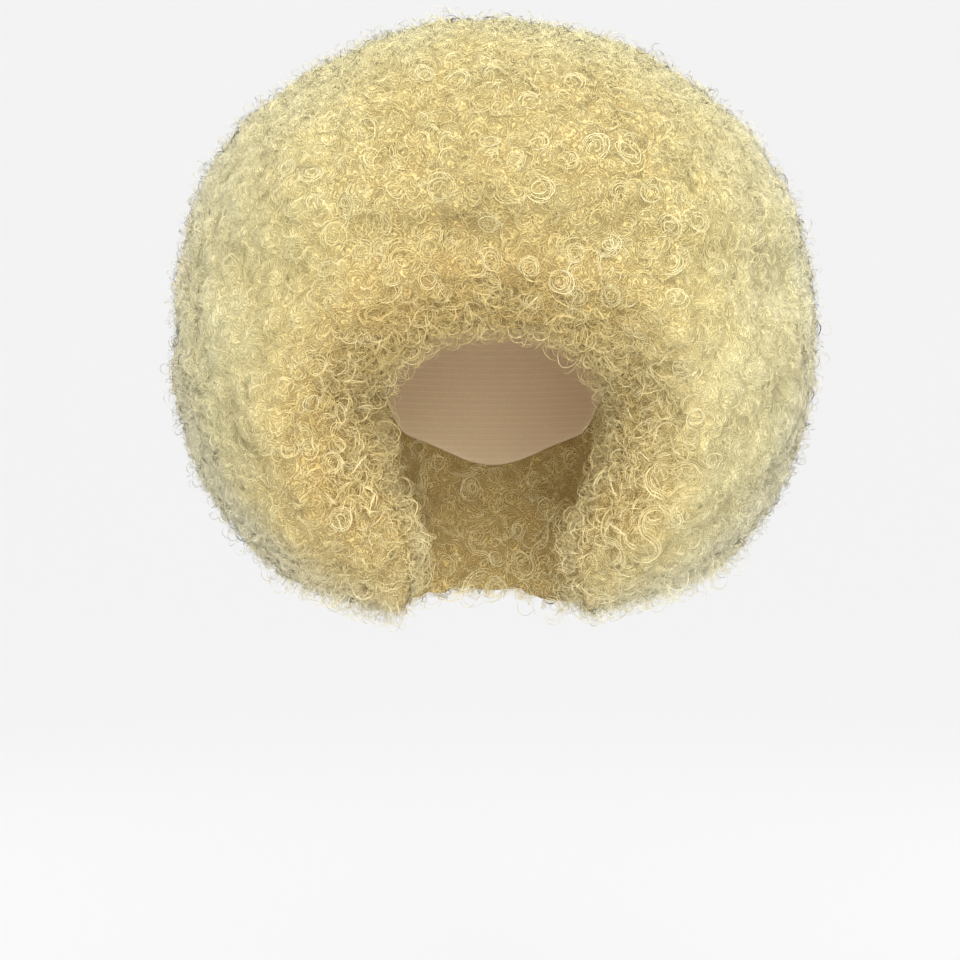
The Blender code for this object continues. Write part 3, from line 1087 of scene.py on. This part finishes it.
def emitter_for(zone, mass, shown, fullness_at):
    """The part of the mass that a zone's curls grow from, as a loose surface."""
    mesh = mass.data
    points, normals = mesh_points(mesh), mesh_normals(mesh)
    faces = np.array([p.index for p in mesh.polygons])
    centres = np.array([p.center for p in mesh.polygons])
    keep = faces[(zone_of(centres) == zone) & shown]
    used = sorted({v for f in keep for v in mesh.polygons[f].vertices})
    place = {v: n for n, v in enumerate(used)}
    loose = bpy.data.meshes.new("emitter")
    loose.from_pydata(
        [tuple(points[v]) for v in used],
        [],
        [[place[v] for v in mesh.polygons[f].vertices] for f in keep],
    )
    valley = np.empty(len(points), dtype=np.float32)
    mesh.attributes["valley"].data.foreach_get("value", valley)
    store_attribute(loose, "valley", valley[used])
    store_attribute(loose, "fullness", fullness_at(points[used], normals[used]))
    return link_object("emitter", loose)


def shown_faces(mass):
    """Which faces of the mass aren't backed by the cap."""
    centres = np.array([p.center for p in mass.data.polygons])
    return distance_to_cap(centres) > BACKED_BY_CAP


def grow(kind, maker, fullness_at, hair, spacing, material):
    """One piece of loose hair for each zone that has any, scattered over the mass."""
    values = {**SCATTERS[kind], "Spacing": spacing, "Material": material}
    mass = bpy.data.objects["hair_mass"]
    shown = shown_faces(mass)
    shapes = shape_collection(kind, maker, hair)
    tree = bpy.data.node_groups.get("scatter curls") or scatter_tree()
    for zone, node in enumerate(HAIR_NODES):
        emitter = emitter_for(zone, mass, shown, fullness_at)
        modifier = emitter.modifiers.new("curls", "NODES")
        modifier.node_group = tree
        set_inputs(modifier, {**values, "Shapes": shapes, "Seed": values["Seed"] + zone})
        mesh = evaluated_mesh(emitter)
        bpy.data.objects.remove(emitter)
        if not mesh.polygons:
            bpy.data.meshes.remove(mesh)
            continue
        mesh.name = node.replace("_hair", "") + "_" + kind
        hand_over(link_object(mesh.name, mesh), SLOTS[node])
    clear_collection(shapes)


def make_camera():
    data = bpy.data.cameras.new("camera")
    data.sensor_width = SENSOR
    data.lens = SENSOR * VIEW_DISTANCE / VIEW_SPAN
    camera = link_object("camera", data)
    camera.location = Vector(VIEW_MIDDLE) + Vector((0, -VIEW_DISTANCE, 0))
    camera.rotation_euler = (math.pi / 2, 0, 0)
    bpy.context.scene.camera = camera


def make_sweep(stage):
    """A floor that curves up into a round, evenly lit backdrop."""
    material, tree, shader = new_material("pale paper", 0.9, 0.1)
    seen = tree.nodes.new("ShaderNodeLightPath").outputs["Is Camera Ray"]
    shaded = tuple(stage.floor_shading * c for c in stage.floor_colour)
    colour = mix_colours(tree, seen, (*stage.floor_colour, 1.0), (*shaded, 1.0))
    tree.links.new(colour, shader.inputs["Base Color"])
    tree.links.new(seen, shader.inputs["Emission Color"])
    shader.inputs["Emission Strength"].default_value = stage.floor_glow
    shape = bmesh.new()
    bend = 1.5
    reach = 5.0
    height = 4.0
    steps = 12
    profile = [(0.0, 0.0), (reach - bend, 0.0)]
    for step in range(1, steps + 1):
        turn = math.pi / 2 * step / steps
        profile.append((reach - bend + bend * math.sin(turn), bend - bend * math.cos(turn)))
    profile.append((reach, height))
    verts = [shape.verts.new((out, 0, up - stage.floor_drop)) for out, up in profile]
    edges = [shape.edges.new(pair) for pair in zip(verts, verts[1:])]
    bmesh.ops.spin(
        shape, geom=verts + edges, axis=(0, 0, 1), cent=(0, 0, 0), angle=2 * math.pi, steps=48,
        use_duplicate=False,
    )
    bmesh.ops.remove_doubles(shape, verts=shape.verts, dist=1e-5)
    bmesh.ops.recalc_face_normals(shape, faces=shape.faces)
    mesh = mesh_from(shape, "sweep")
    mesh.materials.append(material)
    mesh.shade_smooth()
    link_object("sweep", mesh)


def make_lights(stage):
    world = bpy.data.worlds.new("studio")
    world.use_nodes = True
    sky = world.node_tree.nodes["Background"]
    sky.inputs["Color"].default_value = (1.0, 1.0, 1.0, 1.0)
    sky.inputs["Strength"].default_value = stage.sky_strength
    bpy.context.scene.world = world
    target = Vector(VIEW_MIDDLE)
    for name, power, place, size in (
        ("key", stage.key_power, (0.05, -1.7, 1.25), 1.4),
        ("fill", stage.fill_power, (0.25, -1.8, 0.05), 1.2),
        ("back right", stage.back_power, (-1.5, 1.2, 0.5), 1.2),
        ("back left", stage.back_power, (1.5, 1.2, 0.5), 1.2),
    ):
        data = bpy.data.lights.new(name, "AREA")
        data.shape = "DISK"
        data.size = size
        data.energy = power
        lamp = link_object(name, data)
        lamp.location = place
        lamp.visible_camera = False
        lamp.rotation_euler = (target - Vector(place)).to_track_quat("-Z", "Y").to_euler()


class WIG_OT_stage(bpy.types.Operator):
    """Make the camera, floor, backdrop and lights"""

    bl_idname = "wig.stage"
    bl_label = "Stage"

    def execute(self, context):
        stage = context.scene.wig_stage
        make_camera()
        make_sweep(stage)
        make_lights(stage)
        context.scene.view_settings.view_transform = "Standard"
        return {"FINISHED"}


class WIG_OT_cap(bpy.types.Operator):
    """Give the cap its net and rows of weft"""

    bl_idname = "wig.cap"
    bl_label = "Cap"

    def execute(self, context):
        cap = context.scene.wig_cap
        hand_over(build_cap(cap_material(cap.net_colour, cap.weft_spacing)), "cap_net", CAP_NODE)
        return {"FINISHED"}


class WIG_OT_mass(bpy.types.Operator):
    """Make the mass of packed curls under the loose ones"""

    bl_idname = "wig.mass"
    bl_label = "Hair mass"

    def execute(self, context):
        hair = context.scene.wig_hair
        mass = build_mass(hair)
        soft_light_group()
        tint = hair_tint_group(hair)
        mass.data.materials.append(mass_material(tint, ring_lines_group()))
        hand_over(mass, "blond_curls", *HAIR_NODES)
        return {"FINISHED"}


class WIG_OT_tufts(bpy.types.Operator):
    """Grow tufts of frizz all over the hair"""

    bl_idname = "wig.tufts"
    bl_label = "Frizz tufts"

    def execute(self, context):
        hair = context.scene.wig_hair
        material = strand_material("frizz strands")
        grow("tufts", frizz_tuft, full_everywhere, hair, hair.tuft_spacing, material)
        return {"FINISHED"}


class WIG_OT_rings(bpy.types.Operator):
    """Grow ring curls over the hair, and closer ones on the fringe"""

    bl_idname = "wig.rings"
    bl_label = "Ring curls"

    def execute(self, context):
        hair = context.scene.wig_hair
        material = strand_material("ring strands")
        grow("rings", ring_curl, full_at_heart, hair, hair.ring_spacing, material)
        grow("face_rings", ring_curl, full_over_face, hair, FRINGE_RINGS_APART * hair.ring_spacing, material)
        return {"FINISHED"}


class WIG_OT_wisps(bpy.types.Operator):
    """Grow the fine wisps that soften the outline"""

    bl_idname = "wig.wisps"
    bl_label = "Outline wisps"

    def execute(self, context):
        hair = context.scene.wig_hair
        material = strand_material("wisp strands")
        grow("wisps", outline_wisp, full_everywhere, hair, hair.wisp_spacing, material)
        return {"FINISHED"}


class WIG_OT_rim(bpy.types.Operator):
    """Hang curls over the window's rim and the lower edge, and sweep some by the face and behind the neck"""

    bl_idname = "wig.rim"
    bl_label = "Rim curls"

    def execute(self, context):
        hair = context.scene.wig_hair
        hanging = strand_material("rim strands")
        grow("rim_curls", rim_curl, full_at_rim, hair, hair.rim_spacing, hanging)
        swept = strand_material("swept strands")
        grow("swept_curls", swept_curl, full_of_sweeps, hair, SWEPT_CURLS_APART * hair.ring_width, swept)
        return {"FINISHED"}


PIECES = (WIG_OT_stage, WIG_OT_cap, WIG_OT_mass, WIG_OT_tufts, WIG_OT_rings, WIG_OT_wisps, WIG_OT_rim)


class WIG_PT_parts(bpy.types.Panel):
    """Lists the wig's settings and pieces"""

    bl_label = "Wig"
    bl_idname = "WIG_PT_parts"
    bl_space_type = "VIEW_3D"
    bl_region_type = "UI"
    bl_category = "Wig"

    def draw(self, context):
        for settings in (context.scene.wig_stage, context.scene.wig_cap, context.scene.wig_hair):
            for key in settings.__annotations__:
                self.layout.prop(settings, key)
        for piece in PIECES:
            self.layout.operator(piece.bl_idname)


CLASSES = (WigStage, WigHair, WigCap, *PIECES, WIG_PT_parts)


def register():
    for cls in CLASSES:
        bpy.utils.register_class(cls)
    bpy.types.Scene.wig_stage = bpy.props.PointerProperty(type=WigStage)
    bpy.types.Scene.wig_hair = bpy.props.PointerProperty(type=WigHair)
    bpy.types.Scene.wig_cap = bpy.props.PointerProperty(type=WigCap)


def unregister():
    del bpy.types.Scene.wig_cap
    del bpy.types.Scene.wig_hair
    del bpy.types.Scene.wig_stage
    for cls in reversed(CLASSES):
        bpy.utils.unregister_class(cls)


def main():
    register()
    bpy.ops.wig.stage()
    bpy.ops.wig.cap()
    bpy.ops.wig.mass()
    bpy.ops.wig.tufts()
    bpy.ops.wig.rings()
    bpy.ops.wig.wisps()
    bpy.ops.wig.rim()


if __name__ == "__main__":
    main()
